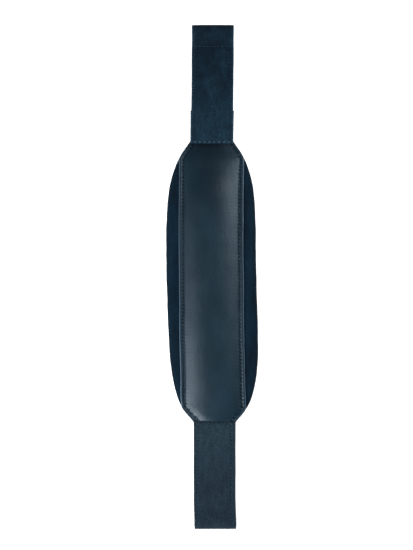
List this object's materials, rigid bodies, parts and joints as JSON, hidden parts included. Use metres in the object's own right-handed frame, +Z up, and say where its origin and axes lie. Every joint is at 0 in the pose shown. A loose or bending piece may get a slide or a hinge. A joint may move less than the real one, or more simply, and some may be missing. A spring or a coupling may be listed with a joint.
{
  "type": "saxophone neck strap",
  "caption": "Padded saxophone neck strap: a stuffed leather panel on a velvety pad that spreads the load on the neck, with folded leather tabs at its ends for a cord or ring.",
  "frame": {"origin": "middle of the pad's underside, on the surface that the strap lies on", "axes": "+Y along the strap to the upper tab, +X across the strap, +Z up out of the leather side"},
  "size_m": [0.072, 0.4032, 0.0134],
  "materials": {
    "velour_lining": "charcoal velour, matte, short pile",
    "velour_cover": "blue-black velour, matte, short pile",
    "foam": "closed-cell foam, matte",
    "nylon_tape": "woven nylon tape",
    "smooth_leather": "smooth navy leather, satin",
    "suede_leather": "blue-black suede side, matte",
    "nubuck_leather": "navy nubuck, matte",
    "navy_thread": "bonded polyester thread",
    "pale_thread": "bonded polyester thread, paler than the leather"
  },
  "bodies": {
    "pad": {"pad_lining": "velour_lining", "pad_foam": "foam", "pad_face": "velour_cover", "load_tape": "nylon_tape", "crown_foam": "foam", "leather_panel": "smooth_leather", "panel_seam_left_needle_thread": "navy_thread", "panel_seam_left_bobbin_thread": "navy_thread", "panel_seam_right_needle_thread": "navy_thread", "panel_seam_right_bobbin_thread": "navy_thread"},
    "upper_tab": {"upper_tab_leather": "suede_leather", "upper_hem_seam_needle_thread": "pale_thread", "upper_hem_seam_bobbin_thread": "pale_thread", "upper_loop_seam_needle_thread": "navy_thread", "upper_loop_seam_bobbin_thread": "navy_thread", "upper_side_seam_left_needle_thread": "navy_thread", "upper_side_seam_left_bobbin_thread": "navy_thread", "upper_side_seam_right_needle_thread": "navy_thread", "upper_side_seam_right_bobbin_thread": "navy_thread"},
    "lower_tab": {"lower_tab_leather": "nubuck_leather", "lower_hem_seam_needle_thread": "navy_thread", "lower_hem_seam_bobbin_thread": "navy_thread", "lower_side_seam_left_needle_thread": "navy_thread", "lower_side_seam_left_bobbin_thread": "navy_thread", "lower_side_seam_right_needle_thread": "navy_thread", "lower_side_seam_right_bobbin_thread": "navy_thread"}
  },
  "joints": [
    {"name": "upper_tab_hinge", "type": "hinge", "parent": "pad", "child": "upper_tab", "pos_m": [0, 0.1113, 0.0061], "axis": [1, 0, 0], "range_deg": [-60, 90], "deforming": ["load_tape"]},
    {"name": "lower_tab_hinge", "type": "hinge", "parent": "pad", "child": "lower_tab", "pos_m": [0, -0.1113, 0.0061], "axis": [-1, 0, 0], "range_deg": [-60, 90], "deforming": ["load_tape"]}
  ]
}
